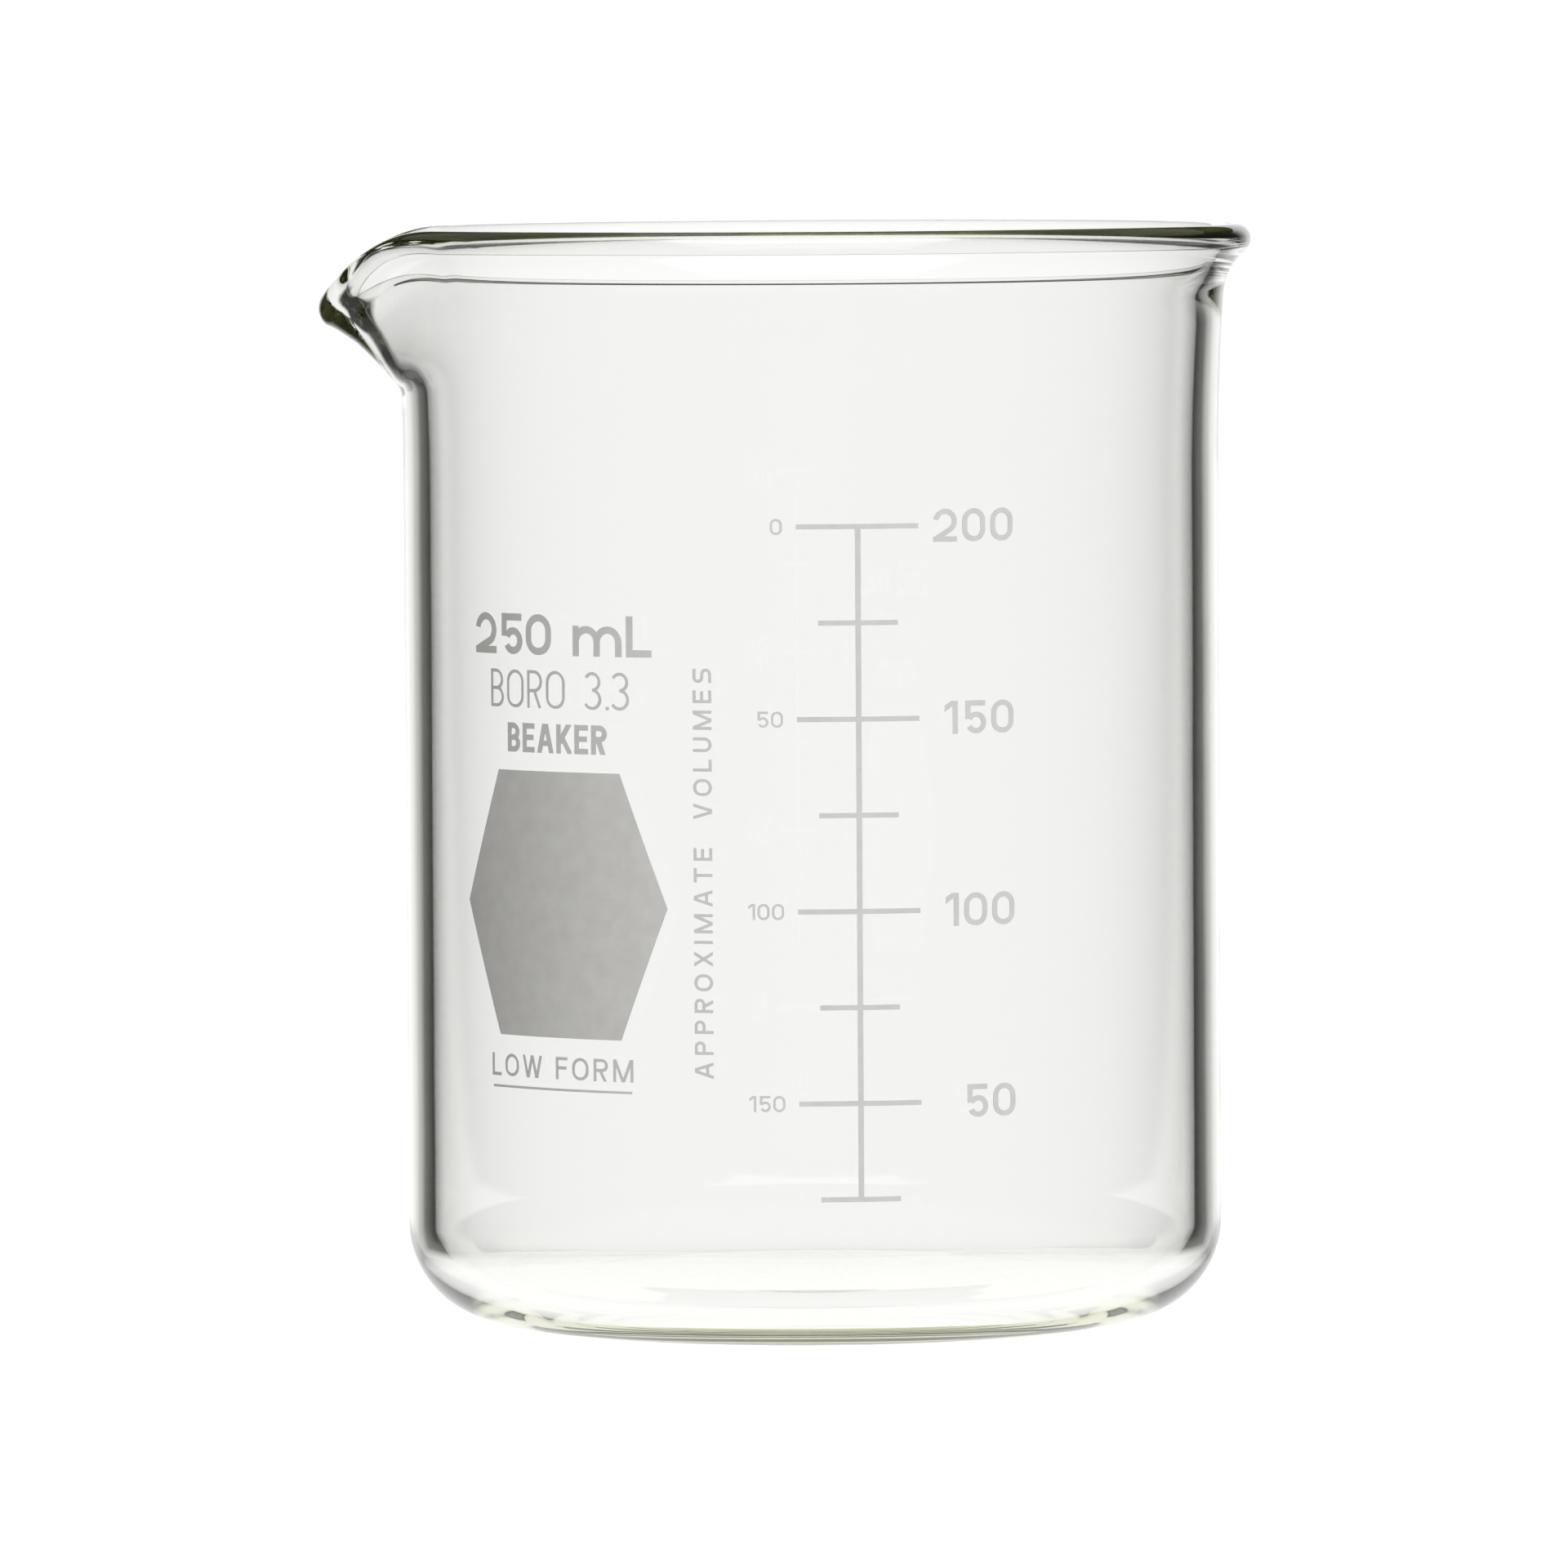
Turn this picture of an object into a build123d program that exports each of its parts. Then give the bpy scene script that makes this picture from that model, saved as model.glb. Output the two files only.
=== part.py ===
from build123d import *
import math
import os

# A low-form glass beaker of 250 mL with a pouring spout and fired enamel marks.
# Millimetres, +Z up. The origin is the middle of the base, on the surface that the
# beaker stands on. The spout points along -X and the volume scale faces -Y.
# An azimuth is counted in degrees from -Y towards +X, as seen by someone reading the scale.

# ---------------------------------------------------------------- driving dimensions: glass
OUTER_RADIUS = 34.1  # straight wall, outside
HEADROOM = 23.9  # from the 200 mL line up to the top of the rim
WALL = 2.2
FLOOR = 2.6
OUTER_CORNER = 8.1  # radius where the wall turns into the base, outside
INNER_CORNER = 5.6  # the same, inside
FOOT_WIDTH = 4.3  # flat ring that the beaker stands on
PUSH_UP = 0.8  # how far the middle of the base is raised

RIM_OVERHANG = 2.8  # how far the rim stands out from the straight wall
BEAD_RADIUS = 1.25  # fire-polished bead round the rim
LEAD_OUT = 0.5  # gentle opening of the wall below the flare
LEAD_ANGLE = 4.0  # slope of the wall where that opening meets the flare
NECK_ANGLE_OUTSIDE = 50.0  # slope of the flare where it runs into the bead
NECK_ANGLE_INSIDE = 30.0

SPOUT_HALF_ANGLE = 32.0  # either side of -X, where the lip leaves the round rim
SPOUT_REACH = 3.65  # how far the lip's bead moves out at the tip
SPOUT_DIP = 5.4  # how far it hangs down there
SPOUT_DEPTH = 14.1  # rim top to the crease where the spout begins
SPOUT_TIP_BEAD = 1.8  # bead radius at the tip, where the glass is folded thicker
SPOUT_DIP_POWER = 1.25  # the lip dips later than it moves out
SPOUT_RAMP_START = 0.10  # share of the spout's height where the wall begins to lean out
SPOUT_RAMP_END = 0.85  # and where it has reached the lip
SPOUT_RAMP_EASE = 0.08  # half the length of the rounded ends of that lean
SPOUT_SECTIONS = 14  # wall sections that the spout is drawn through

# ---------------------------------------------------------------- driving dimensions: marks
ENAMEL = 0.05  # thickness of the fired print
SCALE_ALONG = 3.7  # from the -Y line along the wall to the scale's spine
FIRST_MARK_HEIGHT = 12.7  # 25 mL line; the scale is approximate, to 5% of the capacity
MARK_STEP_ML = 25
MARK_COUNT = 8
LONG_MARK = 10.0
SHORT_MARK = 6.5
MARK_STROKE = 0.42
SPINE_STROKE = 0.46

RISING_CAP = 2.7
RISING_STROKE = 0.44
RISING_PITCH = 2.5
RISING_RIGHT_EDGE = 13.3  # from the scale's spine to the last digit's right edge
FALLING_CAP = 1.32
FALLING_STROKE = 0.2
FALLING_PITCH = 1.19
FALLING_RIGHT_EDGE = -6.15

# Heights in the label are counted from the middle of the scale.
LABEL_ALONG = -22.8
CAPACITY_BASELINE = 16.7
CAPACITY_CAP = 3.35
CAPACITY_STROKE = 0.6
CAPACITY_GAP = 0.4
CAPACITY_WIDEN = 1.1
GLASS_TYPE_BASELINE = 12.35
GLASS_TYPE_CAP = 3.1
GLASS_TYPE_STROKE = 0.26
GLASS_TYPE_GAP = 0.42
GLASS_TYPE_WIDEN = 0.72
KIND_BASELINE = 8.7
KIND_CAP = 2.4
KIND_STROKE = 0.46
KIND_GAP = 0.3
KIND_WIDEN = 0.85
PATCH_MIDDLE = -3.7
PATCH_HEIGHT = 21.8
PATCH_WIDTH = 21.25
PATCH_TOP_WIDTH = 12.8
FORM_BASELINE = -18.0
FORM_CAP = 1.85
FORM_STROKE = 0.26
FORM_GAP = 0.5
FORM_LINE_GAP = 0.75  # letters down to the underline
FORM_LINE_LENGTH = 14.6
FORM_LINE_STROKE = 0.2
LEGEND_ALONG = -9.13
LEGEND_BOTTOM = -17.55
LEGEND_CAP = 1.57
LEGEND_STROKE = 0.25
LEGEND_GAP = 0.61

# ---------------------------------------------------------------- sizes that follow
BORE_RADIUS = OUTER_RADIUS - WALL
FOOT_RADIUS = OUTER_RADIUS - OUTER_CORNER
PUSH_UP_RADIUS = FOOT_RADIUS - FOOT_WIDTH
MARK_PITCH = MARK_STEP_ML * 1000 / (math.pi * BORE_RADIUS**2)
TOP_MARK_HEIGHT = FIRST_MARK_HEIGHT + (MARK_COUNT - 1) * MARK_PITCH
MIDDLE_MARK_HEIGHT = (FIRST_MARK_HEIGHT + TOP_MARK_HEIGHT) / 2
HEIGHT = TOP_MARK_HEIGHT + HEADROOM
BEAD_CENTRE_R = OUTER_RADIUS + RIM_OVERHANG - BEAD_RADIUS
BEAD_CENTRE_Z = HEIGHT - BEAD_RADIUS
SPOUT_BOTTOM = HEIGHT - SPOUT_DEPTH
TANGENT_ANGLE = math.radians(SPOUT_HALF_ANGLE)
NOSE_ANGLE = TANGENT_ANGLE - math.acos(BEAD_CENTRE_R / (BEAD_CENTRE_R + SPOUT_REACH))
SPOUT_EDGE_ANGLE = math.sqrt(TANGENT_ANGLE**2 - NOSE_ANGLE**2)


# ---------------------------------------------------------------- the wall's section
class Flare:
    """One face of the wall below the rim: straight, then a slow arc, then a quick arc into the bead."""

    def __init__(self, wall_radius, neck_angle, bead_angle):
        lead, neck = math.radians(LEAD_ANGLE), math.radians(neck_angle)
        self.bead_angle = math.radians(bead_angle)
        self.wall_radius = wall_radius
        self.end_r = BEAD_CENTRE_R + BEAD_RADIUS * math.cos(self.bead_angle)
        self.end_z = BEAD_CENTRE_Z + BEAD_RADIUS * math.sin(self.bead_angle)
        self.slow = LEAD_OUT / (1 - math.cos(lead))
        rest = self.end_r - wall_radius - LEAD_OUT
        self.quick = rest / (math.cos(lead) - math.cos(neck))
        self.join_z = self.end_z - self.quick * (math.sin(neck) - math.sin(lead))
        self.start_z = self.join_z - self.slow * math.sin(lead)
        self.sin_lead, self.cos_lead = math.sin(lead), math.cos(lead)

    def radius(self, z):
        """Distance of this face from the beaker's axis at height z."""
        if z <= self.start_z:
            return self.wall_radius
        if z <= self.join_z:
            sine = (z - self.start_z) / self.slow
            return self.wall_radius + self.slow * (1 - math.sqrt(1 - sine**2))
        sine = self.sin_lead + (z - self.join_z) / self.quick
        return self.wall_radius + LEAD_OUT + self.quick * (self.cos_lead - math.sqrt(1 - sine**2))


OUTSIDE = Flare(OUTER_RADIUS, NECK_ANGLE_OUTSIDE, -NECK_ANGLE_OUTSIDE)
INSIDE = Flare(BORE_RADIUS, NECK_ANGLE_INSIDE, 180 - NECK_ANGLE_INSIDE)
FACE_POINTS = 12  # points that each face's curve passes through, from the spout's bottom up


def eased_ramp(share):
    """0 below the ramp and 1 above it, straight between, with rounded ends."""
    start, end, ease = SPOUT_RAMP_START, SPOUT_RAMP_END, SPOUT_RAMP_EASE
    length = end - start
    if share <= start - ease:
        return 0.0
    if share < start + ease:
        return (share - start + ease) ** 2 / (4 * ease * length)
    if share <= end - ease:
        return (share - start) / length
    if share < end + ease:
        return 1 - (end + ease - share) ** 2 / (4 * ease * length)
    return 1.0


def lip_reach(angle):
    """How far the lip's bead stands out from the round rim, at an angle from the spout's middle."""
    rounded = math.sqrt(angle**2 + NOSE_ANGLE**2)
    if rounded >= TANGENT_ANGLE:
        return 0.0
    return BEAD_CENTRE_R * (1 / math.cos(TANGENT_ANGLE - rounded) - 1)


def face_curve(face, reach, dip, thicker):
    """Points of one face from the spout's bottom to the bead, moved out and down by the spout."""
    points = []
    for step in range(FACE_POINTS + 1):
        share = step / FACE_POINTS
        z = SPOUT_BOTTOM + (face.end_z - SPOUT_BOTTOM) * share
        swell = thicker * share**2
        r = face.radius(z) + reach * eased_ramp(share) + swell * math.cos(face.bead_angle)
        points.append((r, 0, z - dip * share + swell * math.sin(face.bead_angle)))
    return points


def rim_section(angle):
    """The wall and its bead above the spout's bottom, in the XZ plane, at an angle from the spout's middle.

    The edges run up the outside, over the bead and down the inside.
    """
    share = lip_reach(angle) / SPOUT_REACH
    reach, dip = lip_reach(angle), SPOUT_DIP * share**SPOUT_DIP_POWER
    thicker = (SPOUT_TIP_BEAD - BEAD_RADIUS) * share
    outer = face_curve(OUTSIDE, reach, dip, thicker)
    inner = face_curve(INSIDE, reach, dip, thicker)
    top_angle = (OUTSIDE.bead_angle + INSIDE.bead_angle) / 2
    top = (
        BEAD_CENTRE_R + reach + (BEAD_RADIUS + thicker) * math.cos(top_angle),
        0,
        BEAD_CENTRE_Z - dip + (BEAD_RADIUS + thicker) * math.sin(top_angle),
    )
    return [
        Edge.make_spline(outer),
        Edge.make_three_point_arc(outer[-1], top, inner[-1]),
        Edge.make_spline(inner[::-1]),
    ]


# ---------------------------------------------------------------- the base and the straight wall
def dished(rim_r, rim_z, rise):
    """An arc from a ring up to the axis, level where it meets the axis."""
    sphere = (rim_r**2 + rise**2) / (2 * rise)
    half = math.asin(rim_r / sphere) / 2
    middle = (sphere * math.sin(half), 0, rim_z + rise - sphere * (1 - math.cos(half)))
    return Edge.make_three_point_arc((rim_r, 0, rim_z), middle, (0, 0, rim_z + rise))


def corner(radius, foot_z, wall_radius):
    """The quarter circle between the floor at foot_z and the wall."""
    short = radius * (1 - math.sqrt(0.5))
    return Edge.make_three_point_arc(
        (wall_radius - radius, 0, foot_z),
        (wall_radius - short, 0, foot_z + short),
        (wall_radius, 0, foot_z + radius),
    )


def low_section(face, foot_z, corner_radius):
    """One face of the base and wall, from the axis out along the floor and up to the spout's bottom."""
    flat_end = face.wall_radius - corner_radius
    straight_top = min(face.start_z, SPOUT_BOTTOM)
    edges = [
        dished(PUSH_UP_RADIUS, foot_z, PUSH_UP),
        Edge.make_line((PUSH_UP_RADIUS, 0, foot_z), (flat_end, 0, foot_z)),
        corner(corner_radius, foot_z, face.wall_radius),
        Edge.make_line(
            (face.wall_radius, 0, foot_z + corner_radius),
            (face.wall_radius, 0, straight_top),
        ),
    ]
    if straight_top < SPOUT_BOTTOM:
        middle_z = (straight_top + SPOUT_BOTTOM) / 2
        stops = [(face.radius(z), 0, z) for z in (straight_top, middle_z, SPOUT_BOTTOM)]
        edges.append(Edge.make_three_point_arc(*stops))
    return edges


# ---------------------------------------------------------------- the vessel
def glass_vessel():
    """The whole skin, inside and out, closed into one solid.

    Away from the spout one section is turned about the axis. Under the spout its lower
    part is turned on, and above that the skin passes through a row of wall sections.
    """
    spout_width = 2 * math.degrees(SPOUT_EDGE_ANGLE)
    spout_start = 180 - spout_width / 2
    outside = low_section(OUTSIDE, 0, OUTER_CORNER)
    inside = low_section(INSIDE, FLOOR, INNER_CORNER)
    whole = Wire(outside + rim_section(SPOUT_EDGE_ANGLE) + inside)
    whole = whole.rotate(Axis.Z, spout_start + spout_width)
    skin = list(Shell.revolve(whole, 360 - spout_width, Axis.Z).faces())
    for face in (outside, inside):
        turned = Shell.revolve(Wire(face).rotate(Axis.Z, spout_start), spout_width, Axis.Z)
        skin += turned.faces()
    lip = []
    for step in range(SPOUT_SECTIONS + 1):
        angle = SPOUT_EDGE_ANGLE * (2 * step / SPOUT_SECTIONS - 1)
        lip.append(Wire(rim_section(angle)).rotate(Axis.Z, 180 + math.degrees(angle)))
    skin += Shell.make_loft(lip).faces()
    return Solid(Shell(skin))


# ---------------------------------------------------------------- lettering, drawn as strokes
def facing_up(face):
    """The same flat face with its front to +Z, so that strokes join into one letter."""
    return face if face.normal_at().Z > 0 else -face


def limb(start, end, stroke):
    """A straight stroke between two points, cut square at its ends."""
    (x0, y0), (x1, y1) = start, end
    length = math.hypot(x1 - x0, y1 - y0)
    across_x, across_y = (y0 - y1) / length * stroke / 2, (x1 - x0) / length * stroke / 2
    corners = [
        (x0 + across_x, y0 + across_y),
        (x1 + across_x, y1 + across_y),
        (x1 - across_x, y1 - across_y),
        (x0 - across_x, y0 - across_y),
    ]
    return facing_up(Face(Wire.make_polygon(corners)))


def bow(centre, radius, start, sweep, stroke):
    """A curved stroke about a centre, whose outer edge has this radius."""
    x, y = centre
    inner = radius - stroke

    def point(r, degrees):
        return (x + r * math.cos(math.radians(degrees)), y + r * math.sin(math.radians(degrees)))

    middle, end = start + sweep / 2, start + sweep
    edges = [
        Edge.make_three_point_arc(point(radius, start), point(radius, middle), point(radius, end)),
        Edge.make_line(point(radius, end), point(inner, end)),
        Edge.make_three_point_arc(point(inner, end), point(inner, middle), point(inner, start)),
        Edge.make_line(point(inner, start), point(radius, start)),
    ]
    return facing_up(Face(Wire(edges)))


def block(x0, y0, x1, y1):
    """An upright rectangle between two corners."""
    return facing_up(Face(Wire.make_polygon([(x0, y0), (x1, y0), (x1, y1), (x0, y1)])))


def ring(w, h, s):
    """A closed round stroke: two half circles and two straight sides."""
    r = min(w, h) / 2 * 0.98
    outer = Pos(w / 2, h / 2) * RectangleRounded(w, h, r)
    return [outer - Pos(w / 2, h / 2) * RectangleRounded(w - 2 * s, h - 2 * s, r - s)]


def bowl(w, low, high, s):
    """The half-round stroke of a P, R or B, closed against the stem."""
    r = (high - low) / 2
    return [
        bow((w - r, low + r), r, -90, 180, s),
        block(0, low, w - r, low + s),
        block(0, high - s, w - r, high),
    ]


def trimmed(shapes, w, h):
    """Strokes cut off square at the top and bottom of the letter."""
    return [Sketch() + shapes & block(0, 0, w, h)]


def glyph_1(w, h, s):
    return [block(w - s, 0, w, h)] + trimmed([limb((w - s / 2, h), (-s, h * 0.66), s)], w, h)


def glyph_2(w, h, s):
    r = w / 2
    end = math.radians(-55)
    turn = (r + (r - s / 2) * math.cos(end), h - r + (r - s / 2) * math.sin(end))
    return [
        bow((r, h - r), r, 172, -227, s),
        limb(turn, (s * 0.55, s * 0.6), s),
        block(0, 0, w, s),
    ]


def glyph_3(w, h, s):
    upper = 0.26 * h
    lower = (h + s) / 2 - upper
    left = w - lower
    return [
        bow((w - lower, h - upper), upper, 150, -240, s),
        bow((left, lower), lower, 90, -240, s),
    ]


def glyph_5(w, h, s):
    r = 0.33 * h
    return [
        bow((w - r, r), r, 205, 310, s),
        block(0.1 * w, 0.44 * h, 0.1 * w + s, h),
        block(0.1 * w, h - s, w * 0.96, h),
    ]


def glyph_s(w, h, s):
    r = (h + s) / 4
    return [
        bow((r, h - r), r, 90, 180, s),
        bow((w - r, r), r, 90, -180, s),
        block(r, h - s, w, h),
        block(r, h / 2 - s / 2, w - r, h / 2 + s / 2),
        block(0, 0, w - r, s),
    ]


def glyph_u(w, h, s):
    r = w / 2
    return [bow((r, r), r, 180, 180, s), block(0, r, s, h), block(w - s, r, w, h)]


def glyph_m_small(w, h, s):
    low = h * 0.745
    r = (w - s) / 4 + s / 2
    legs = [block(0, 0, s, low)]
    for arch in range(2):
        x = arch * (w - s) / 2
        legs.append(bow((x + r, low - r), r, 0, 180, s))
        legs.append(block(x + 2 * r - s, 0, x + 2 * r, low - r))
    return legs


def stem(h, s):
    return [block(0, 0, s, h)]


def glyph_r(w, h, s):
    leg = trimmed([limb((w * 0.45, h * 0.5), (w - s * 0.45, -s), s * 1.05)], w, h)
    return stem(h, s) + bowl(w, h * 0.42, h, s) + leg


def glyph_b(w, h, s):
    return stem(h, s) + bowl(w, 0, h / 2 + s / 2, s) + bowl(w * 0.95, h / 2 - s / 2, h, s)


def glyph_k(w, h, s):
    knee = (s * 0.6, h * 0.36)
    arm = limb(knee, (w * 0.92, h * 1.08), s)
    leg = limb((w * 0.34, h * 0.6), (w * 0.98, -h * 0.06), s)
    return stem(h, s) + trimmed([arm, leg], w, h)


def glyph_a(w, h, s):
    left = limb((w / 2 - s * 0.1, h + s * 0.3), (s * 0.35, -s * 0.6), s)
    right = limb((w / 2 + s * 0.1, h + s * 0.3), (w - s * 0.35, -s * 0.6), s)
    return trimmed([left, right], w, h) + [block(w * 0.22, h * 0.24, w * 0.78, h * 0.24 + s)]


def glyph_v(w, h, s):
    left = limb((s * 0.35, h + s * 0.6), (w / 2 - s * 0.1, -s * 0.3), s)
    right = limb((w - s * 0.35, h + s * 0.6), (w / 2 + s * 0.1, -s * 0.3), s)
    return trimmed([left, right], w, h)


def glyph_x(w, h, s):
    one = limb((s * 0.3, -s * 0.6), (w - s * 0.3, h + s * 0.6), s)
    other = limb((w - s * 0.3, -s * 0.6), (s * 0.3, h + s * 0.6), s)
    return trimmed([one, other], w, h)


def glyph_m(w, h, s):
    left = limb((s * 0.45, h + s * 0.4), (w / 2, 0), s)
    right = limb((w - s * 0.45, h + s * 0.4), (w / 2, 0), s)
    return stem(h, s) + [block(w - s, 0, w, h)] + trimmed([left, right], w, h)


def glyph_w(w, h, s):
    tops = [s * 0.4, w / 2, w - s * 0.4]
    feet = [w * 0.27, w * 0.73]
    strokes = []
    for top, foot in ((0, 0), (1, 0), (1, 1), (2, 1)):
        strokes.append(limb((tops[top], h + s * 0.3), (feet[foot], -s * 0.3), s))
    return trimmed(strokes, w, h)


def bars(*places):
    """A letter made of a stem and level bars, each place a share of the height and of the width."""

    def draw(w, h, s):
        return stem(h, s) + [block(0, (h - s) * up, w * wide, (h - s) * up + s) for up, wide in places]

    return draw


# Each letter: how it is drawn, and its width as a share of the height.
GLYPHS = {
    "0": (ring, 0.75),
    "1": (glyph_1, 0.42),
    "2": (glyph_2, 0.75),
    "3": (glyph_3, 0.66),
    "5": (glyph_5, 0.75),
    "A": (glyph_a, 0.86),
    "B": (glyph_b, 0.72),
    "E": (bars((0, 1), (0.52, 0.92), (1, 1)), 0.66),
    "F": (bars((0.52, 0.92), (1, 1)), 0.64),
    "I": (lambda w, h, s: [block(0, 0, w, h)], 0.16),
    "K": (glyph_k, 0.76),
    "L": (bars((0, 1)), 0.62),
    "M": (glyph_m, 1.0),
    "O": (ring, 0.88),
    "P": (lambda w, h, s: stem(h, s) + bowl(w, h * 0.42, h, s), 0.7),
    "R": (glyph_r, 0.74),
    "S": (glyph_s, 0.74),
    "T": (lambda w, h, s: [block(0, h - s, w, h), block((w - s) / 2, 0, (w + s) / 2, h)], 0.74),
    "U": (glyph_u, 0.76),
    "V": (glyph_v, 0.82),
    "W": (glyph_w, 1.15),
    "X": (glyph_x, 0.8),
    "m": (glyph_m_small, 1.27),
    ".": (lambda w, h, s: [block(0, 0, s * 1.1, s * 1.1)], 0.12),
}
SPACE_SHARE = 0.55  # width of a space, as a share of the height


def lettering(text, cap, stroke, gap, widen=1.0):
    """Flat letters from x = 0 rightwards on y = 0, and the length of the line."""
    x, letters = 0.0, []
    for character in text:
        if character == " ":
            x += cap * SPACE_SHARE
            continue
        draw, share = GLYPHS[character]
        width = stroke if character == "I" else cap * share * widen
        letters.append(Pos(x, 0) * (Sketch() + draw(width, cap, stroke)))
        x += width + gap
    return letters, x - gap


def figures(number, cap, stroke, pitch, right):
    """Digits of one pitch that end at x = right."""
    digits = []
    for place, character in enumerate(reversed(number)):
        draw, share = GLYPHS[character]
        width = cap * share
        digits.append(Pos(right - place * pitch - width, 0) * (Sketch() + draw(width, cap, stroke)))
    return digits


# ---------------------------------------------------------------- putting marks on the wall
def wall_core(thickness):
    """What the outside of the wall encloses up to the spout's bottom, grown by a thickness."""
    straight_top = min(OUTSIDE.start_z, SPOUT_BOTTOM)
    stops = [(OUTSIDE.wall_radius + thickness, 0, OUTER_CORNER)]
    stops.append((OUTSIDE.wall_radius + thickness, 0, straight_top))
    edges = [Edge.make_line((0, 0, OUTER_CORNER), stops[0]), Edge.make_line(stops[0], stops[1])]
    if straight_top < SPOUT_BOTTOM:
        for z in ((straight_top + SPOUT_BOTTOM) / 2, SPOUT_BOTTOM):
            stops.append((OUTSIDE.radius(z) + thickness, 0, z))
        edges.append(Edge.make_three_point_arc(*stops[1:]))
    edges.append(Edge.make_line(stops[-1], (0, 0, SPOUT_BOTTOM)))
    edges.append(Edge.make_line((0, 0, SPOUT_BOTTOM), (0, 0, OUTER_CORNER)))
    return revolve(Face(Wire(edges)), Axis.Z)


SKIN = wall_core(ENAMEL) - wall_core(0)


def fired_on(shapes, along):
    """Flat shapes, square on at this distance along the wall with y as the height, as enamel on the wall."""
    turn = along / OUTER_RADIUS
    outward = Vector(math.sin(turn), -math.cos(turn), 0)
    behind = outward * (OUTER_RADIUS * 0.7)
    tangent = Plane(origin=behind, x_dir=(math.cos(turn), math.sin(turn), 0), z_dir=outward)
    pieces = []
    for shape in shapes:
        deposit = extrude(tangent * shape, OUTER_RADIUS) & SKIN
        pieces += deposit.solids()
    return Compound(pieces)


def wrapped(letters, along, centre_x=0.0):
    """Letters laid out along the wall, each one put on square at its own place."""
    pieces = []
    for letter in letters:
        middle = letter.bounding_box().center().X
        pieces += fired_on([Pos(-middle, 0) * letter], along + middle - centre_x).solids()
    return Compound(pieces)


def line_of_text(text, cap, stroke, gap, widen, baseline):
    """A level line in the label, centred on it."""
    letters, length = lettering(text, cap, stroke, gap, widen)
    z = MIDDLE_MARK_HEIGHT + baseline
    return wrapped([Pos(0, z) * letter for letter in letters], LABEL_ALONG, length / 2)


def mark_height(volume):
    return FIRST_MARK_HEIGHT + (volume / MARK_STEP_ML - 1) * MARK_PITCH


def graduation_scale():
    """The spine and its level marks, one print."""
    half_spine = SPINE_STROKE / 2
    shapes = [block(-half_spine, FIRST_MARK_HEIGHT, half_spine, TOP_MARK_HEIGHT)]
    for number in range(1, MARK_COUNT + 1):
        z = mark_height(number * MARK_STEP_ML)
        half = (SHORT_MARK if number % 2 else LONG_MARK) / 2
        shapes.append(block(-half, z - MARK_STROKE / 2, half, z + MARK_STROKE / 2))
    return fired_on([Sketch() + shapes], SCALE_ALONG)


def rising_number(volume):
    """How much is in the beaker, right of the scale."""
    base = mark_height(volume) - RISING_CAP / 2
    digits = figures(str(volume), RISING_CAP, RISING_STROKE, RISING_PITCH, RISING_RIGHT_EDGE)
    return wrapped([Pos(0, base) * digit for digit in digits], SCALE_ALONG)


def falling_number(volume):
    """How much has been poured from the 200 mL line, left of the scale."""
    base = mark_height(MARK_COUNT * MARK_STEP_ML - volume) - FALLING_CAP / 2
    digits = figures(str(volume), FALLING_CAP, FALLING_STROKE, FALLING_PITCH, FALLING_RIGHT_EDGE)
    return wrapped([Pos(0, base) * digit for digit in digits], SCALE_ALONG)


def marking_patch():
    """The six-sided field that is left to write on."""

    def flat(along):
        return OUTER_RADIUS * math.sin(along / OUTER_RADIUS)

    side, top, half = flat(PATCH_WIDTH / 2), flat(PATCH_TOP_WIDTH / 2), PATCH_HEIGHT / 2
    corners = [(-side, 0), (-top, -half), (top, -half), (side, 0), (top, half), (-top, half)]
    field = facing_up(Face(Wire.make_polygon(corners)))
    return fired_on([Pos(0, MIDDLE_MARK_HEIGHT + PATCH_MIDDLE) * field], LABEL_ALONG)


def form_mark():
    """The form's name, and the line under it."""
    words = line_of_text("LOW FORM", FORM_CAP, FORM_STROKE, FORM_GAP, 1.0, FORM_BASELINE)
    top = MIDDLE_MARK_HEIGHT + FORM_BASELINE - FORM_LINE_GAP
    half = FORM_LINE_LENGTH / 2
    line = fired_on([block(-half, top - FORM_LINE_STROKE, half, top)], LABEL_ALONG)
    return Compound(words.solids() + line.solids())


def volume_legend():
    """The upright line beside the scale, read from the bottom up."""
    letters, _ = lettering("APPROXIMATE  VOLUMES", LEGEND_CAP, LEGEND_STROKE, LEGEND_GAP)
    foot = Pos(LEGEND_CAP / 2, MIDDLE_MARK_HEIGHT + LEGEND_BOTTOM) * Rot(0, 0, 90)
    return fired_on([foot * letter for letter in letters], LEGEND_ALONG)


# ---------------------------------------------------------------- every node
def nodes():
    yield "glass_vessel", glass_vessel()
    yield "graduation_scale", graduation_scale()
    for volume in (50, 100, 150, 200):
        yield f"rising_{volume}", rising_number(volume)
    for volume in (0, 50, 100, 150):
        yield f"falling_{volume}", falling_number(volume)
    capacity = (CAPACITY_CAP, CAPACITY_STROKE, CAPACITY_GAP, CAPACITY_WIDEN, CAPACITY_BASELINE)
    yield "capacity_mark", line_of_text("250 mL", *capacity)
    glass = (GLASS_TYPE_CAP, GLASS_TYPE_STROKE, GLASS_TYPE_GAP, GLASS_TYPE_WIDEN, GLASS_TYPE_BASELINE)
    yield "glass_type_mark", line_of_text("BORO 3.3", *glass)
    yield "kind_mark", line_of_text("BEAKER", KIND_CAP, KIND_STROKE, KIND_GAP, KIND_WIDEN, KIND_BASELINE)
    yield "marking_patch", marking_patch()
    yield "form_mark", form_mark()
    yield "volume_legend", volume_legend()


os.makedirs("parts", exist_ok=True)
for name, shape in nodes():
    export_step(shape, f"parts/{name}.step")
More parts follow.
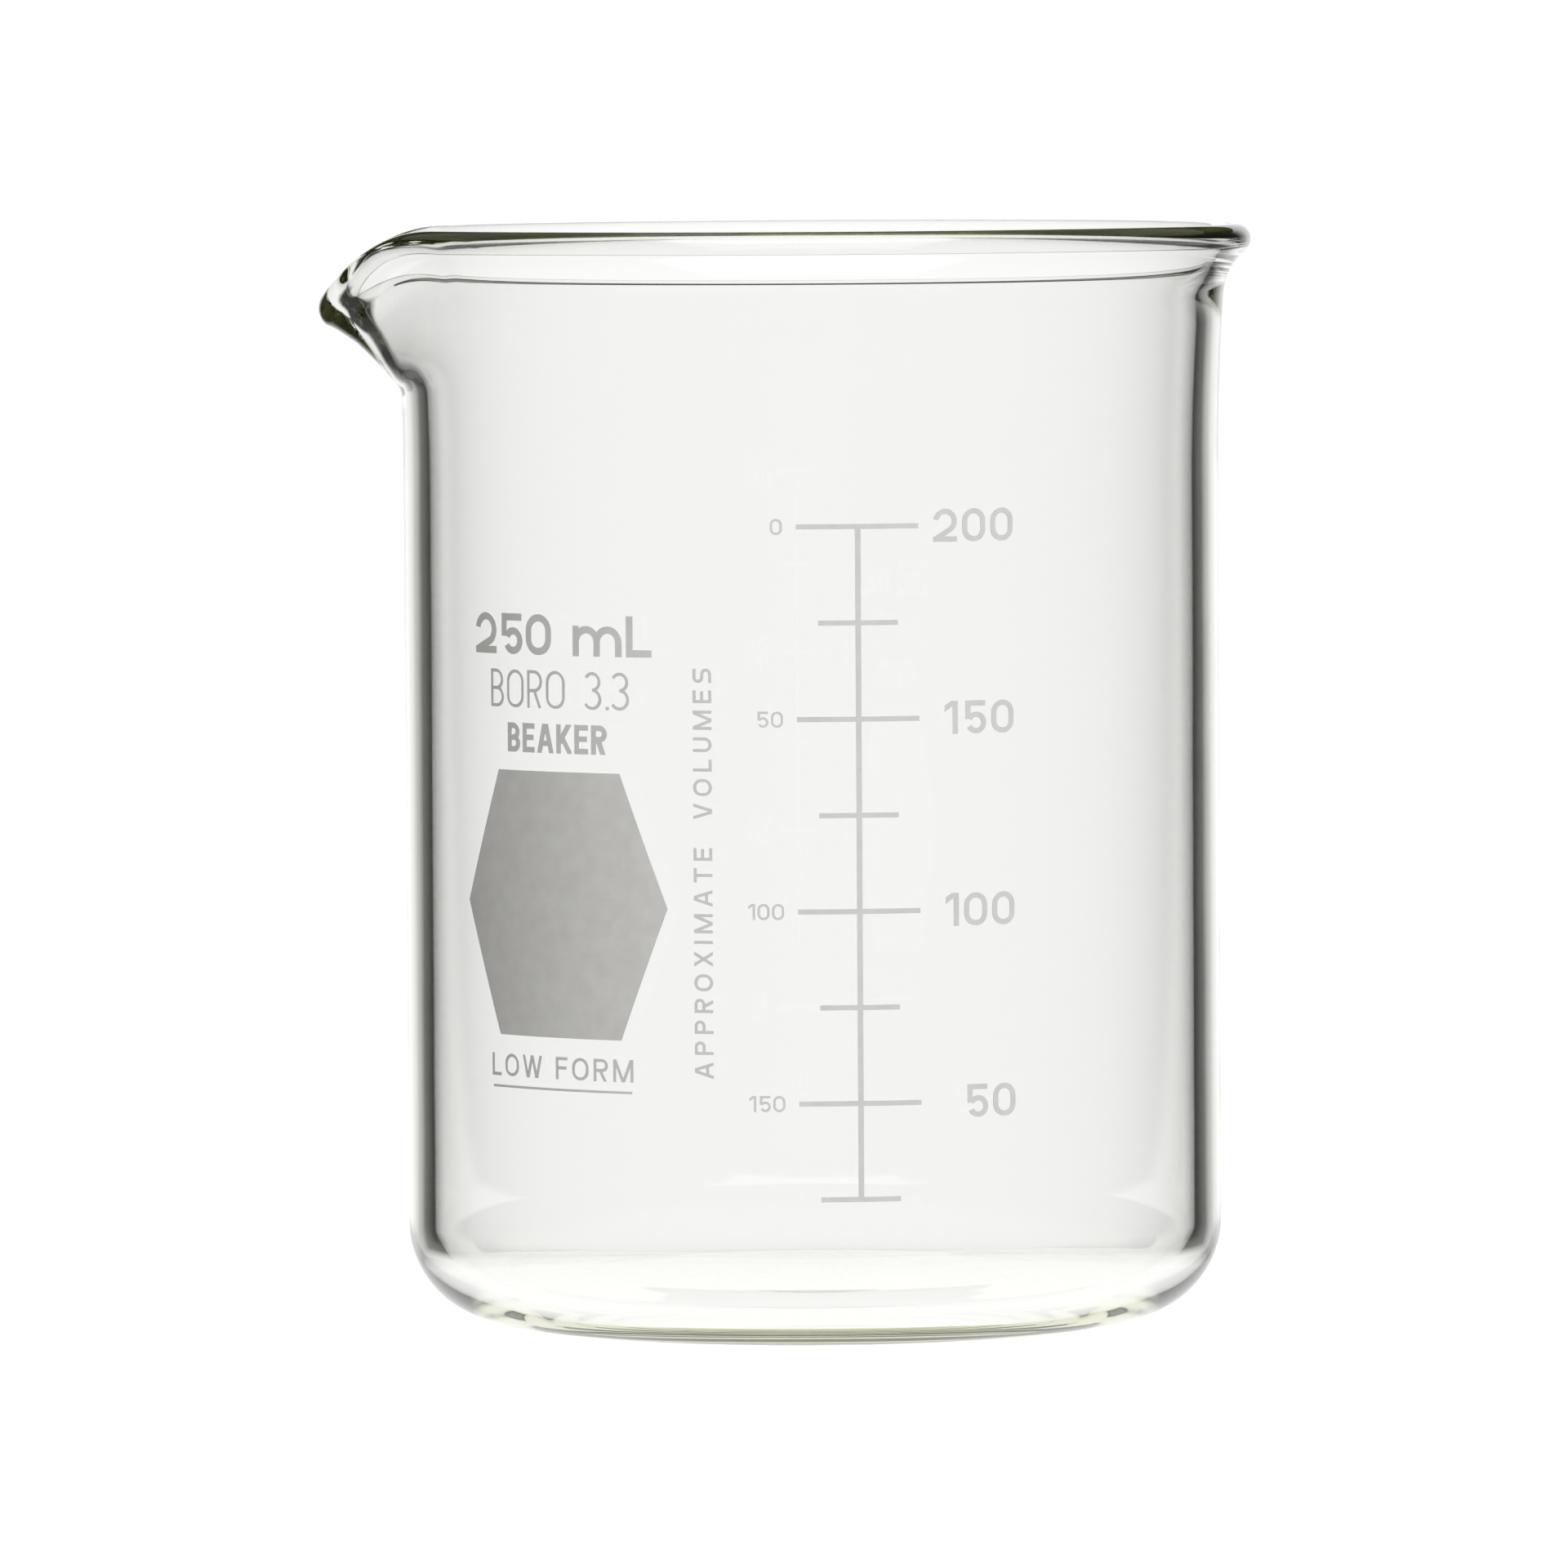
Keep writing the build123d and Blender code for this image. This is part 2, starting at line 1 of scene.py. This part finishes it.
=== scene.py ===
# %% [markdown]
# # A low-form glass beaker, for learning Blender
# The real object is one piece of clear borosilicate glass with white marks fired onto it.
# The exact shapes were made beforehand as CAD parts, and this script loads them as a fixed
# frame. Where a CAD part already has the right shape it only gets a better material. Where
# light has to bend through it smoothly, as in the glass, a finer piece takes its place.

import math

import bmesh
import bpy
from mathutils import Matrix, Vector


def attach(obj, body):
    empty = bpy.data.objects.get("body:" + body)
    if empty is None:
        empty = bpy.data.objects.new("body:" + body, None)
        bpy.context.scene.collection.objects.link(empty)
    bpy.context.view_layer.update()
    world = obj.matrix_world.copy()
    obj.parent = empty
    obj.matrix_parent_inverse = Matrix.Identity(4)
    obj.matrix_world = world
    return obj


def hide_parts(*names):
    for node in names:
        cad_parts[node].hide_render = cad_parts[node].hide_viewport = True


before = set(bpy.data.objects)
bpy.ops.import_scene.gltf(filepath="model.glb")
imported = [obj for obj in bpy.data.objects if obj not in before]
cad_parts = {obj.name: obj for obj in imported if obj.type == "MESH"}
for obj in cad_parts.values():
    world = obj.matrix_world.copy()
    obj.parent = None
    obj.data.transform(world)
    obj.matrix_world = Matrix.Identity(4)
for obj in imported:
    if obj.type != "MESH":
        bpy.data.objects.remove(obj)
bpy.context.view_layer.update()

# %% [markdown]
# ## The sizes of the glass
# A beaker is blown into a turning mould, so almost all of it is one outline turned about an
# axis. The outline could be sampled from the CAD mesh, but then its curves would be as coarse
# as that mesh. Writing down the few radii and angles that a glassmaker would use gives true
# arcs of any fineness. Lengths are in metres.

# %% Sizes of the glass
MM = 0.001
OUTER_RADIUS = 34.1 * MM
HEIGHT = 91.34 * MM
WALL = 2.2 * MM
FLOOR = 2.6 * MM
OUTER_CORNER = 8.1 * MM
INNER_CORNER = 5.6 * MM
FOOT_WIDTH = 4.3 * MM
PUSH_UP = 0.8 * MM
RIM_OVERHANG = 2.8 * MM
BEAD_RADIUS = 1.25 * MM
LEAD_OUT = 0.5 * MM
LEAD_ANGLE = math.radians(4)
BORE_RADIUS = OUTER_RADIUS - WALL
FOOT_RADIUS = OUTER_RADIUS - OUTER_CORNER
PUSH_UP_RADIUS = FOOT_RADIUS - FOOT_WIDTH
BEAD_R = OUTER_RADIUS + RIM_OVERHANG - BEAD_RADIUS
BEAD_Z = HEIGHT - BEAD_RADIUS
print("bore", round(BORE_RADIUS / MM, 2), "mm")
print("foot ring from", round(PUSH_UP_RADIUS / MM, 2), "to", round(FOOT_RADIUS / MM, 2), "mm")

# %% [markdown]
# ## A pen for outlines
# An outline is drawn with two strokes. A straight stroke extrudes the last vertex and moves
# the copy. A round stroke spins the last vertex about a centre, which is what a pair of
# compasses does. Both are the same operators that the editor offers, so the outline needs no
# list of points worked out by hand.

# %% The pen
def straight_to(bm, last, x, z):
    """Extrude the last vertex of an outline to a new place in the XZ plane."""
    new = bmesh.ops.extrude_vert_indiv(bm, verts=[last])["verts"][0]
    new.co = Vector((x, 0, z))
    return new


def compass(bm, last, x, z, degrees, steps):
    """Spin the last vertex about a centre; anticlockwise is positive, seen with X right and Z up."""
    spun = bmesh.ops.spin(
        bm, geom=[last], cent=(x, 0, z), axis=(0, -1, 0), angle=math.radians(degrees), steps=steps,
        use_duplicate=False,
    )
    return [item for item in spun["geom_last"] if isinstance(item, bmesh.types.BMVert)][0]


trial = bmesh.new()
end = compass(trial, trial.verts.new((1, 0, 0)), 0, 0, 90, 4)
print("a quarter turn from (1, 0) ends at", tuple(round(c, 3) for c in end.co))
trial.free()

# %% [markdown]
# ## How the wall opens into the rim
# Below the rim the wall first leans out very gently, then curls quickly into the bead. The
# same two arcs, with other angles, make the outside and the inside. They could be one curve
# drawn by eye; two arcs that share a tangent keep reflections unbroken.

# %% The two arcs of the flare
class Flare:
    """One face of the wall below the rim: a slow arc, then a quick arc into the bead."""

    def __init__(self, wall_radius, neck_degrees, bead_degrees):
        neck = math.radians(neck_degrees)
        self.neck_degrees = neck_degrees
        self.bead_angle = math.radians(bead_degrees)
        self.wall_radius = wall_radius
        self.end_r = BEAD_R + BEAD_RADIUS * math.cos(self.bead_angle)
        self.end_z = BEAD_Z + BEAD_RADIUS * math.sin(self.bead_angle)
        self.slow = LEAD_OUT / (1 - math.cos(LEAD_ANGLE))
        self.quick = (self.end_r - wall_radius - LEAD_OUT) / (math.cos(LEAD_ANGLE) - math.cos(neck))
        self.join_z = self.end_z - self.quick * (math.sin(neck) - math.sin(LEAD_ANGLE))
        self.start_z = self.join_z - self.slow * math.sin(LEAD_ANGLE)
        self.quick_r = wall_radius + LEAD_OUT + self.quick * math.cos(LEAD_ANGLE)
        self.quick_z = self.join_z - self.quick * math.sin(LEAD_ANGLE)


outside = Flare(OUTER_RADIUS, 50, -50)
inside = Flare(BORE_RADIUS, 30, 150)
print("the wall leans from", round(outside.start_z / MM, 1), "mm, curls from", round(outside.join_z / MM, 1))

# %% [markdown]
# ## The outline
# The pen starts on the axis under the base, goes out over the pushed-up middle and the ring
# that the beaker stands on, up the outside, over the bead, down the inside and back to the
# axis. The lean is drawn in two strokes so that a row of vertices falls where the spout begins.

# %% Draw the outline
SPOUT_BOTTOM = HEIGHT - 14.1 * MM
sphere = (PUSH_UP_RADIUS**2 + PUSH_UP**2) / (2 * PUSH_UP)
push_up_degrees = math.degrees(math.asin(PUSH_UP_RADIUS / sphere))
low_degrees = math.degrees(math.asin((SPOUT_BOTTOM - outside.start_z) / outside.slow))
low_degrees_inside = math.degrees(math.asin((SPOUT_BOTTOM - inside.start_z) / inside.slow))
lead_degrees = math.degrees(LEAD_ANGLE)

bm = bmesh.new()
pen = bm.verts.new((0, 0, PUSH_UP))
pen = compass(bm, pen, 0, PUSH_UP - sphere, -push_up_degrees, 8)
pen = straight_to(bm, pen, FOOT_RADIUS, 0)
pen = compass(bm, pen, FOOT_RADIUS, OUTER_CORNER, 90, 20)
pen = straight_to(bm, pen, OUTER_RADIUS, outside.start_z)
pen = compass(bm, pen, OUTER_RADIUS + outside.slow, outside.start_z, -low_degrees, 4)
pen = compass(bm, pen, OUTER_RADIUS + outside.slow, outside.start_z, low_degrees - lead_degrees, 12)
pen = compass(bm, pen, outside.quick_r, outside.quick_z, lead_degrees - outside.neck_degrees, 10)
print("outside meets the bead at", [round(c / MM, 3) for c in pen.co], "mm")
pen = compass(bm, pen, BEAD_R, BEAD_Z, math.degrees(inside.bead_angle - outside.bead_angle), 36)
print("inside leaves the bead at", [round(c / MM, 3) for c in pen.co], "mm")
pen = compass(bm, pen, inside.quick_r, inside.quick_z, inside.neck_degrees - lead_degrees, 10)
pen = compass(bm, pen, BORE_RADIUS + inside.slow, inside.start_z, lead_degrees - low_degrees_inside, 12)
pen = compass(bm, pen, BORE_RADIUS + inside.slow, inside.start_z, low_degrees_inside, 4)
pen = straight_to(bm, pen, BORE_RADIUS, FLOOR + INNER_CORNER)
pen = compass(bm, pen, BORE_RADIUS - INNER_CORNER, FLOOR + INNER_CORNER, -90, 20)
pen = straight_to(bm, pen, PUSH_UP_RADIUS, FLOOR)
pen = compass(bm, pen, 0, FLOOR + PUSH_UP - sphere, push_up_degrees, 8)
print("the outline ends at", [round(c / MM, 3) for c in pen.co], "mm with", len(bm.verts), "points")

# %% [markdown]
# ## Turn it
# A full spin of the outline makes the whole skin, inside and out, as one closed surface. A
# Screw modifier would do the same, but a spin leaves plain vertices that the spout can move.
# One step for each degree keeps the refraction smooth.

# %% Spin the outline
bmesh.ops.spin(
    bm, geom=bm.verts[:] + bm.edges[:], cent=(0, 0, 0), axis=(0, 0, 1), angle=math.tau, steps=360,
    use_merge=True, use_duplicate=False,
)
bmesh.ops.remove_doubles(bm, verts=bm.verts[:], dist=1e-7)
bmesh.ops.recalc_face_normals(bm, faces=bm.faces[:])
print("turned:", len(bm.verts), "vertices,", len(bm.faces), "faces")
print("open edges:", sum(e.is_boundary for e in bm.edges))

# %% [markdown]
# ## Pull the spout
# A glassblower softens one side of the rim and draws it out and down with a tool. The same is
# done here to the vertices on the -X side: each moves outwards and down, most at the tip, and
# fades out along the two straight sides of the spout. Proportional editing would give a round
# dent, but a real spout has straight sides that leave the round rim as tangents.

# %% Spout sizes
SPOUT_REACH = 3.65 * MM
SPOUT_DIP = 5.4 * MM
SPOUT_THICKER = 0.55 * MM
TANGENT_ANGLE = math.radians(32)
NOSE_ANGLE = TANGENT_ANGLE - math.acos(BEAD_R / (BEAD_R + SPOUT_REACH))


def lip_reach(angle):
    """How far the rim stands out at an angle from the spout's middle."""
    rounded = math.hypot(angle, NOSE_ANGLE)
    if rounded >= TANGENT_ANGLE:
        return 0.0
    return BEAD_R * (1 / math.cos(TANGENT_ANGLE - rounded) - 1)


def eased_ramp(share, start=0.10, end=0.85, ease=0.08):
    """0 below the ramp and 1 above it, straight between, with rounded ends."""
    length = end - start
    if share <= start - ease:
        return 0.0
    if share < start + ease:
        return (share - start + ease) ** 2 / (4 * ease * length)
    if share <= end - ease:
        return (share - start) / length
    if share < end + ease:
        return 1 - (end + ease - share) ** 2 / (4 * ease * length)
    return 1.0


print("the tip stands", round(lip_reach(0) / MM, 2), "mm out from the round rim")

# %% [markdown]
# ## Move the vertices
# The bead keeps its round section and moves as a whole, so its share of the pull is 1. Below
# it the share falls to nothing at the bottom of the flare, with rounded ends so that no ridge
# shows. A lattice could bend the mesh too, but this keeps the wall's two faces apart by an
# even thickness.

# %% Move the vertices of the spout
moved = 0
for v in bm.verts:
    angle = abs(math.atan2(v.co.y, -v.co.x))
    reach = lip_reach(angle)
    if v.co.z <= SPOUT_BOTTOM or reach == 0.0:
        continue
    r, z = math.hypot(v.co.x, v.co.y), v.co.z
    to_bead = Vector((r - BEAD_R, z - BEAD_Z))
    pulled = reach / SPOUT_REACH
    dip, thicker = SPOUT_DIP * pulled**1.25, SPOUT_THICKER * pulled
    if to_bead.length < BEAD_RADIUS * 1.001:
        swell = to_bead.normalized() * thicker
        share, lean = 1.0, 1.0
    else:
        face = outside if r > (OUTER_RADIUS + BORE_RADIUS) / 2 + (z - SPOUT_BOTTOM) * 0.12 else inside
        share = (z - SPOUT_BOTTOM) / (face.end_z - SPOUT_BOTTOM)
        lean = eased_ramp(share)
        swell = Vector((math.cos(face.bead_angle), math.sin(face.bead_angle))) * thicker * share**2
    new_r = r + reach * lean + swell.x
    v.co = Vector((v.co.x * new_r / r, v.co.y * new_r / r, z - dip * share + swell.y))
    moved += 1
print("moved", moved, "vertices")

# %% [markdown]
# ## Finish the glass
# The outline becomes one closed mesh with smooth shading. It takes the place of the CAD vessel
# and rides on the same body. Real clear glass lets nearly all light through, so its shadow is
# switched off instead of waiting for thousands of samples to carry the light through it.

# %% Finish the glass
glass_mesh = bpy.data.meshes.new("beaker_glass")
bm.normal_update()
bm.to_mesh(glass_mesh)
bm.free()
for polygon in glass_mesh.polygons:
    polygon.use_smooth = True
beaker_glass = bpy.data.objects.new("beaker_glass", glass_mesh)
bpy.context.scene.collection.objects.link(beaker_glass)
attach(beaker_glass, "root")
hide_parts("glass_vessel")
beaker_glass.visible_shadow = False
print("glass:", len(glass_mesh.polygons), "faces; size", [round(d / MM, 2) for d in beaker_glass.dimensions])

# %% [markdown]
# ## Clear glass
# Borosilicate glass bends light a little less than window glass and is faintly olive where it
# is thick, as in the bead and the corner of the base. A see-through colour could be set on the
# surface, but then thin and thick glass would be tinted alike, so the tint is an absorption in
# the volume. Blown glass is never quite flat: a faint, large ripple and a few dust specks that
# scatter light come from noise on Object coordinates.

# %% The glass material
def new_material(name):
    """A material with an empty node tree, and a helper to add nodes to it."""
    material = bpy.data.materials.new(name)
    material.use_nodes = True
    material.node_tree.nodes.clear()

    def add(kind, **settings):
        node = material.node_tree.nodes.new(kind)
        for key, value in settings.items():
            setattr(node, key, value)
        return node

    return material, add, material.node_tree.links.new


clear_glass, add, link = new_material("clear_borosilicate")
surface = add("ShaderNodeBsdfPrincipled")
surface.inputs["Base Color"].default_value = (1, 1, 1, 1)
surface.inputs["Transmission Weight"].default_value = 1.0
surface.inputs["IOR"].default_value = 1.473
output = add("ShaderNodeOutputMaterial")
tint = add("ShaderNodeVolumeAbsorption")
tint.inputs["Color"].default_value = (0.81, 0.82, 0.66, 1)
tint.inputs["Density"].default_value = 28.0
place = add("ShaderNodeTexCoord")
ripple = add("ShaderNodeTexNoise")
ripple.inputs["Scale"].default_value = 45.0
ripple.inputs["Detail"].default_value = 2.0
bump = add("ShaderNodeBump")
bump.inputs["Strength"].default_value = 0.05
bump.inputs["Distance"].default_value = 0.0004
dust = add("ShaderNodeTexNoise")
dust.inputs["Scale"].default_value = 900.0
dust.inputs["Detail"].default_value = 4.0
dust_range = add("ShaderNodeMapRange")
dust_range.inputs["From Min"].default_value = 0.55
dust_range.inputs["From Max"].default_value = 0.80
dust_range.inputs["To Min"].default_value = 0.0
dust_range.inputs["To Max"].default_value = 0.06
link(place.outputs["Object"], ripple.inputs["Vector"])
link(place.outputs["Object"], dust.inputs["Vector"])
link(ripple.outputs["Fac"], bump.inputs["Height"])
link(bump.outputs["Normal"], surface.inputs["Normal"])
link(dust.outputs["Fac"], dust_range.inputs["Value"])
link(dust_range.outputs["Result"], surface.inputs["Roughness"])
link(surface.outputs["BSDF"], output.inputs["Surface"])
link(tint.outputs["Volume"], output.inputs["Volume"])
beaker_glass.data.materials.append(clear_glass)
print("glass material:", len(clear_glass.node_tree.nodes), "nodes")

# %% [markdown]
# ## Fired enamel
# The marks are ceramic ink, printed through a screen and melted into the glass. Fired enamel is
# white, satin rather than glossy, and slightly uneven: the screen's mesh leaves a fine grain,
# and the layer varies a little in thickness. The CAD prints already have the right outlines, so
# they stay, and only their finish is made here.

# %% The enamel material
fired_enamel, add, link = new_material("fired_white_enamel")
surface = add("ShaderNodeBsdfPrincipled")
surface.inputs["IOR"].default_value = 1.5
output = add("ShaderNodeOutputMaterial")
place = add("ShaderNodeTexCoord")
cloud = add("ShaderNodeTexNoise")
cloud.inputs["Scale"].default_value = 700.0
cloud.inputs["Detail"].default_value = 5.0
tone = add("ShaderNodeValToRGB")
tone.color_ramp.elements[0].position = 0.3
tone.color_ramp.elements[0].color = (0.66, 0.655, 0.635, 1)
tone.color_ramp.elements[1].position = 0.7
tone.color_ramp.elements[1].color = (0.72, 0.715, 0.695, 1)
grain = add("ShaderNodeTexNoise")
grain.inputs["Scale"].default_value = 6000.0
grain.inputs["Detail"].default_value = 3.0
grain_bump = add("ShaderNodeBump")
grain_bump.inputs["Strength"].default_value = 0.25
grain_bump.inputs["Distance"].default_value = 0.00002
satin = add("ShaderNodeMapRange")
satin.inputs["To Min"].default_value = 0.38
satin.inputs["To Max"].default_value = 0.55
link(place.outputs["Object"], cloud.inputs["Vector"])
link(place.outputs["Object"], grain.inputs["Vector"])
link(cloud.outputs["Fac"], tone.inputs["Fac"])
link(tone.outputs["Color"], surface.inputs["Base Color"])
link(cloud.outputs["Fac"], satin.inputs["Value"])
link(satin.outputs["Result"], surface.inputs["Roughness"])
link(grain.outputs["Fac"], grain_bump.inputs["Height"])
link(grain_bump.outputs["Normal"], surface.inputs["Normal"])
link(surface.outputs["BSDF"], output.inputs["Surface"])
prints = [node for name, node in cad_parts.items() if name != "glass_vessel"]
for node in prints:
    for slot in node.material_slots:
        slot.material = fired_enamel
print("enamel on", len(prints), "prints")

# %% [markdown]
# ## The camera
# A long lens from about a metre away keeps the sides of the beaker nearly parallel, and a
# slightly raised view opens the rim into a thin ellipse.

# %% The camera
CAMERA_DISTANCE = 1.06
CAMERA_HEIGHT = 0.1061
AIM = Vector((-0.0024, 0, 0.0446))
camera_data = bpy.data.cameras.new("camera")
camera_data.sensor_width = 36
camera_data.lens = 290.8
camera = bpy.data.objects.new("camera", camera_data)
bpy.context.scene.collection.objects.link(camera)
bpy.context.scene.camera = camera
eye = Vector((AIM.x, -CAMERA_DISTANCE, CAMERA_HEIGHT))
look = (AIM - eye).to_track_quat("-Z", "Y").to_matrix().to_4x4()
camera.matrix_world = Matrix.Translation(eye) @ look @ Matrix.Rotation(math.radians(-0.35), 4, "Z")
print("camera looks down by", round(math.degrees(math.atan2(eye.z - AIM.z, CAMERA_DISTANCE)), 2), "degrees")

# %% [markdown]
# ## A bright field
# Glass has no colour of its own to show, so a photographer lights what is behind it. A bright
# panel stands behind the beaker and a bright table lies under it, both fading out to the sides.
# Rays that the wall bends a long way see the dark room past them, and that draws the dark lines
# down both sides. One glow material serves both sheets: its strength falls with how far to the
# side a point lies for each metre behind the beaker, which is the angle of the bent ray. The
# sheets are fixed to the camera, so that the beaker is drawn the same way from every side, and
# two constraints keep the table level and centred under the beaker when the camera rises. The
# plain floor is what the camera sees directly, and the glow is what the glass sees.

# %% The stage
def sheet_of(name, corners, material, parent=None):
    """A flat sheet for the stage."""
    bm = bmesh.new()
    bm.faces.new([bm.verts.new(corner) for corner in corners])
    mesh = bpy.data.meshes.new(name)
    bm.to_mesh(mesh)
    bm.free()
    mesh.materials.append(material)
    sheet = bpy.data.objects.new(name, mesh)
    bpy.context.scene.collection.objects.link(sheet)
    sheet.parent = parent
    return sheet


def square(half, z):
    """The corners of a level square about the Z axis."""
    return [(-half, -half, z), (half, -half, z), (half, half, z), (-half, half, z)]


def plain(name, colour, glow=0.0):
    """A matt material, or a glowing one."""
    material, add, link = new_material(name)
    output = add("ShaderNodeOutputMaterial")
    if glow:
        shader = add("ShaderNodeEmission")
        shader.inputs["Strength"].default_value = glow
    else:
        shader = add("ShaderNodeBsdfDiffuse")
    shader.inputs["Color"].default_value = (*colour, 1)
    link(shader.outputs[0], output.inputs["Surface"])
    return material


PANEL_BEHIND = 1.2
PANEL_HALF, PANEL_FOOT, PANEL_TOP = 0.8, -0.1, 0.42
FULL_TO, DARK_FROM = 0.30, 0.55
FULL_GLOW, ROOM_GLOW = 1.06, 0.055
NEAREST_BEHIND = 0.02
TABLE_HALF, TABLE_FRONT, TABLE_Z = 0.046, -0.08, -0.0005
CEILING_HALF, CEILING_Z = 3, 1.8
FLOOR_HALF = 4
studio_glow, add, link = new_material("studio_glow")
place = add("ShaderNodeTexCoord")
axes = add("ShaderNodeSeparateXYZ")
sideways = add("ShaderNodeMath", operation="ABSOLUTE")
past_side = add("ShaderNodeMath", operation="SUBTRACT")
past_side.inputs[1].default_value = OUTER_RADIUS
behind = add("ShaderNodeMath", operation="MAXIMUM")
behind.inputs[1].default_value = NEAREST_BEHIND
spread = add("ShaderNodeMath", operation="DIVIDE")
fade = add("ShaderNodeMapRange")
fade.inputs["From Min"].default_value = FULL_TO
fade.inputs["From Max"].default_value = DARK_FROM
fade.inputs["To Min"].default_value = FULL_GLOW
fade.inputs["To Max"].default_value = ROOM_GLOW
glow = add("ShaderNodeEmission")
output = add("ShaderNodeOutputMaterial")
link(place.outputs["Object"], axes.inputs["Vector"])
link(axes.outputs["X"], sideways.inputs[0])
link(sideways.outputs["Value"], past_side.inputs[0])
link(axes.outputs["Y"], behind.inputs[0])
link(past_side.outputs["Value"], spread.inputs[0])
link(behind.outputs["Value"], spread.inputs[1])
link(spread.outputs["Value"], fade.inputs["Value"])
link(fade.outputs["Result"], glow.inputs["Strength"])
link(glow.outputs["Emission"], output.inputs["Surface"])
light_panel = sheet_of("light_panel", [
    (-PANEL_HALF, PANEL_BEHIND, PANEL_FOOT), (PANEL_HALF, PANEL_BEHIND, PANEL_FOOT),
    (PANEL_HALF, PANEL_BEHIND, PANEL_TOP), (-PANEL_HALF, PANEL_BEHIND, PANEL_TOP),
], studio_glow, camera)
light_panel.visible_shadow = False
bright_table = sheet_of("bright_table", [
    (-TABLE_HALF, TABLE_FRONT, TABLE_Z), (TABLE_HALF, TABLE_FRONT, TABLE_Z),
    (TABLE_HALF, NEAREST_BEHIND, TABLE_Z), (PANEL_HALF, PANEL_BEHIND, TABLE_Z),
    (-PANEL_HALF, PANEL_BEHIND, TABLE_Z), (-TABLE_HALF, NEAREST_BEHIND, TABLE_Z),
], studio_glow, camera)
for sheet in (light_panel, bright_table):
    sheet.matrix_parent_inverse = camera.matrix_world.inverted()
level = bright_table.constraints.new("LIMIT_ROTATION")
level.use_limit_x = level.use_limit_y = True
centred = bright_table.constraints.new("LIMIT_LOCATION")
for end in ("min_x", "max_x", "min_y", "max_y", "min_z", "max_z"):
    setattr(centred, "use_" + end, True)
# Overhead hangs a dim glowing sheet that is no lamp: it lights nothing, and only the glass sees it, as a
# painted reflection of a lit ceiling.
ceiling = sheet_of(
    "ceiling", square(CEILING_HALF, CEILING_Z), plain("painted_ceiling_glow", (0.30, 0.295, 0.28), 1.0)
)
for sheet in (bright_table, ceiling):
    sheet.visible_camera = sheet.visible_diffuse = sheet.visible_shadow = False
floor = sheet_of("floor", square(FLOOR_HALF, 0), plain("pale_floor", (0.86, 0.86, 0.86)))
floor.visible_transmission = floor.visible_glossy = floor.visible_diffuse = False
print("panel", 2 * PANEL_HALF, "m wide and", PANEL_TOP, "m high")

# %% [markdown]
# ## The lights
# The prints are matt, so they need light from the front, while the glass only needs something
# bright behind it. A wide box overhead whitens the floor. One at the front right lights the
# prints, brighter towards the right as they turn to face it, and a narrow one fills in from the
# left. All three are hidden from the glass, which would otherwise show them as white spots. Light
# that gets caught inside the wall runs along it for many reflections, and this long path makes
# the rim look olive. With few steps allowed, the rim and the spout would come out black.

# %% Lights
def soft_light(name, place, aim, width, height, watts):
    """A rectangular softbox that faces a point."""
    data = bpy.data.lights.new(name, "AREA")
    data.shape = "RECTANGLE"
    data.size, data.size_y = width, height
    data.energy = watts
    light = bpy.data.objects.new(name, data)
    bpy.context.scene.collection.objects.link(light)
    turn = (Vector(aim) - Vector(place)).to_track_quat("-Z", "Y").to_matrix().to_4x4()
    light.matrix_world = Matrix.Translation(place) @ turn
    return light


LIGHT_STEPS = 96
overhead = soft_light("overhead_softbox", (0, 0.3, 1.5), (0, 0.3, 0), 4, 4, 46)
overhead.data.spread = math.radians(50)
key = soft_light("key_softbox", (0.7, -1.5, 0.8), (0, 0, 0.05), 0.9, 0.9, 31)
fill = soft_light("left_fill", (-1.0, -0.3, 0.9), (0, 0, 0.09), 0.2, 1.0, 5)
for light in (overhead, key, fill):
    light.visible_glossy = light.visible_transmission = False
world = bpy.data.worlds.new("studio")
world.use_nodes = True
world.node_tree.nodes["Background"].inputs["Color"].default_value = (0.048, 0.047, 0.043, 1)
bpy.context.scene.world = world
bpy.context.scene.view_settings.view_transform = "Standard"
bpy.context.scene.cycles.max_bounces = LIGHT_STEPS
bpy.context.scene.cycles.transmission_bounces = LIGHT_STEPS
bpy.context.scene.cycles.glossy_bounces = LIGHT_STEPS
bpy.context.scene.cycles.transparent_max_bounces = 16
